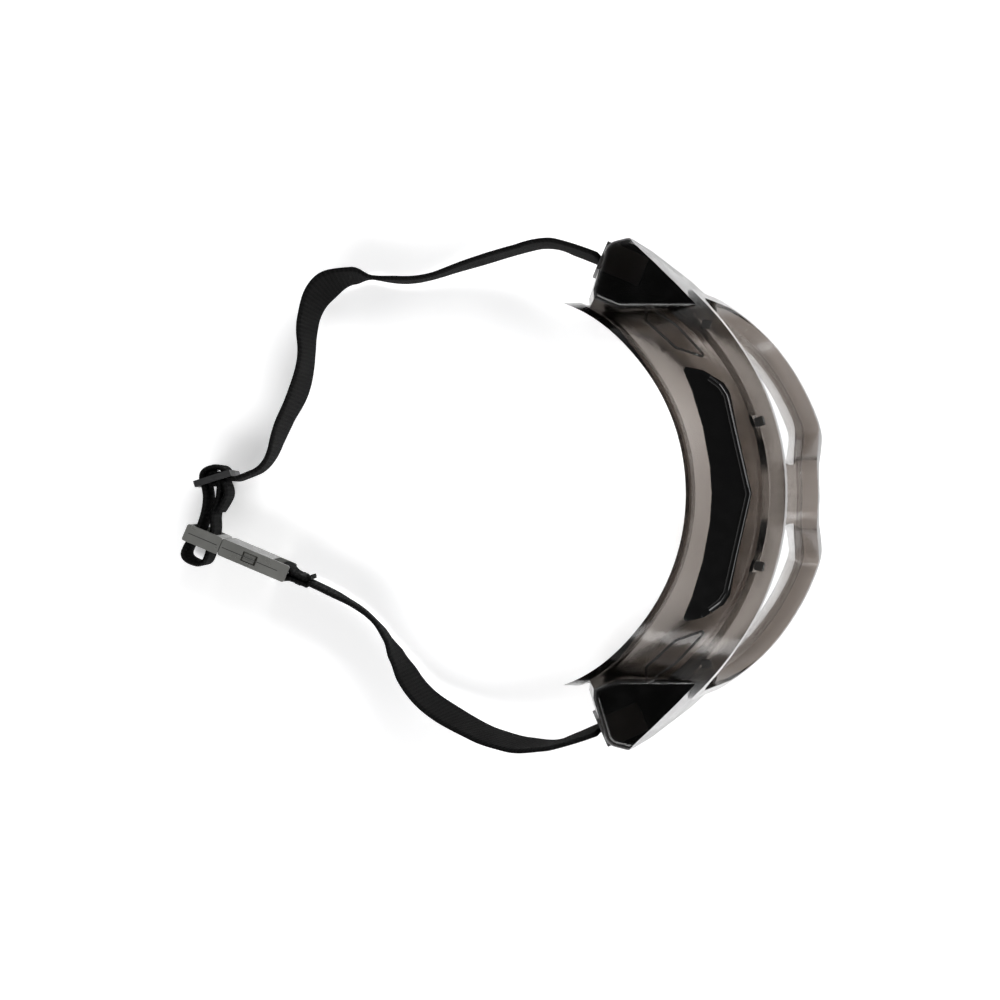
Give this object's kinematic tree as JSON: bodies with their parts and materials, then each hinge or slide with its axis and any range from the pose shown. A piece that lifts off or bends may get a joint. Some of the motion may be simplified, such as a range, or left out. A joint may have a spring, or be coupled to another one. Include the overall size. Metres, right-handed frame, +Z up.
{
  "type": "sports protective goggles",
  "caption": "Wrap-round protective goggles with a clear lens, a soft smoke-grey body, a black top vent and an elastic strap with a slider and a side-release buckle.",
  "frame": {"origin": "on the table, under the middle of the soft body's box, strap and buckle left out", "axes": "+Z up, +X to the wearer's left, +Y towards the wearer's head and the strap; the lens faces -Y"},
  "size_m": [0.1734, 0.2234, 0.0781],
  "materials": {
    "smoke_soft": "translucent smoke-grey soft moulding, glossy",
    "clear_lens": "clear polycarbonate",
    "vent_black": "black, glossy",
    "foam": "fine open foam",
    "anchor_black": "black, fine matte",
    "elastic_black": "black woven elastic",
    "buckle_grey": "translucent grey moulding"
  },
  "bodies": {
    "goggles": {"frame_body": "smoke_soft", "lens": "clear_lens", "vent_cover": "vent_black", "vent_filter": "foam", "anchor_left": "anchor_black", "anchor_right": "anchor_black", "loop_left": "elastic_black", "loop_right": "elastic_black", "strap_long": "elastic_black", "strap_short": "elastic_black", "loop_socket": "elastic_black", "buckle_socket": "buckle_grey"},
    "clip": {"buckle_clip": "buckle_grey", "strap_run_out": "elastic_black", "strap_run_back": "elastic_black"},
    "slider": {"slider": "anchor_black"},
    "arm_upper": {"clip_arm_upper": "buckle_grey"},
    "arm_lower": {"clip_arm_lower": "buckle_grey"}
  },
  "joints": [
    {"name": "buckle_release", "type": "slide", "parent": "goggles", "child": "clip", "axis": [0.3899, 0.9208, 0], "range_m": [0, 0.018], "deforming": ["strap_long", "clip_arm_upper", "clip_arm_lower"]},
    {"name": "slider_adjust", "type": "slide", "parent": "clip", "child": "slider", "axis": [-0.9818, 0.1897, 0], "range_m": [0, 0.008], "deforming": ["strap_run_out", "strap_run_back", "strap_long"]},
    {"name": "arm_squeeze_upper", "type": "hinge", "parent": "clip", "child": "arm_upper", "pos_m": [-0.01864, 0.16234, 0.0233], "axis": [0.9208, -0.3899, 0], "range_deg": [0, 8], "stiffness_Nm_per_rad": 0.1},
    {"name": "arm_squeeze_lower", "type": "hinge", "parent": "clip", "child": "arm_lower", "pos_m": [-0.01864, 0.16234, 0.0073], "axis": [0.9208, -0.3899, 0], "range_deg": [-8, 0], "stiffness_Nm_per_rad": 0.1}
  ]
}
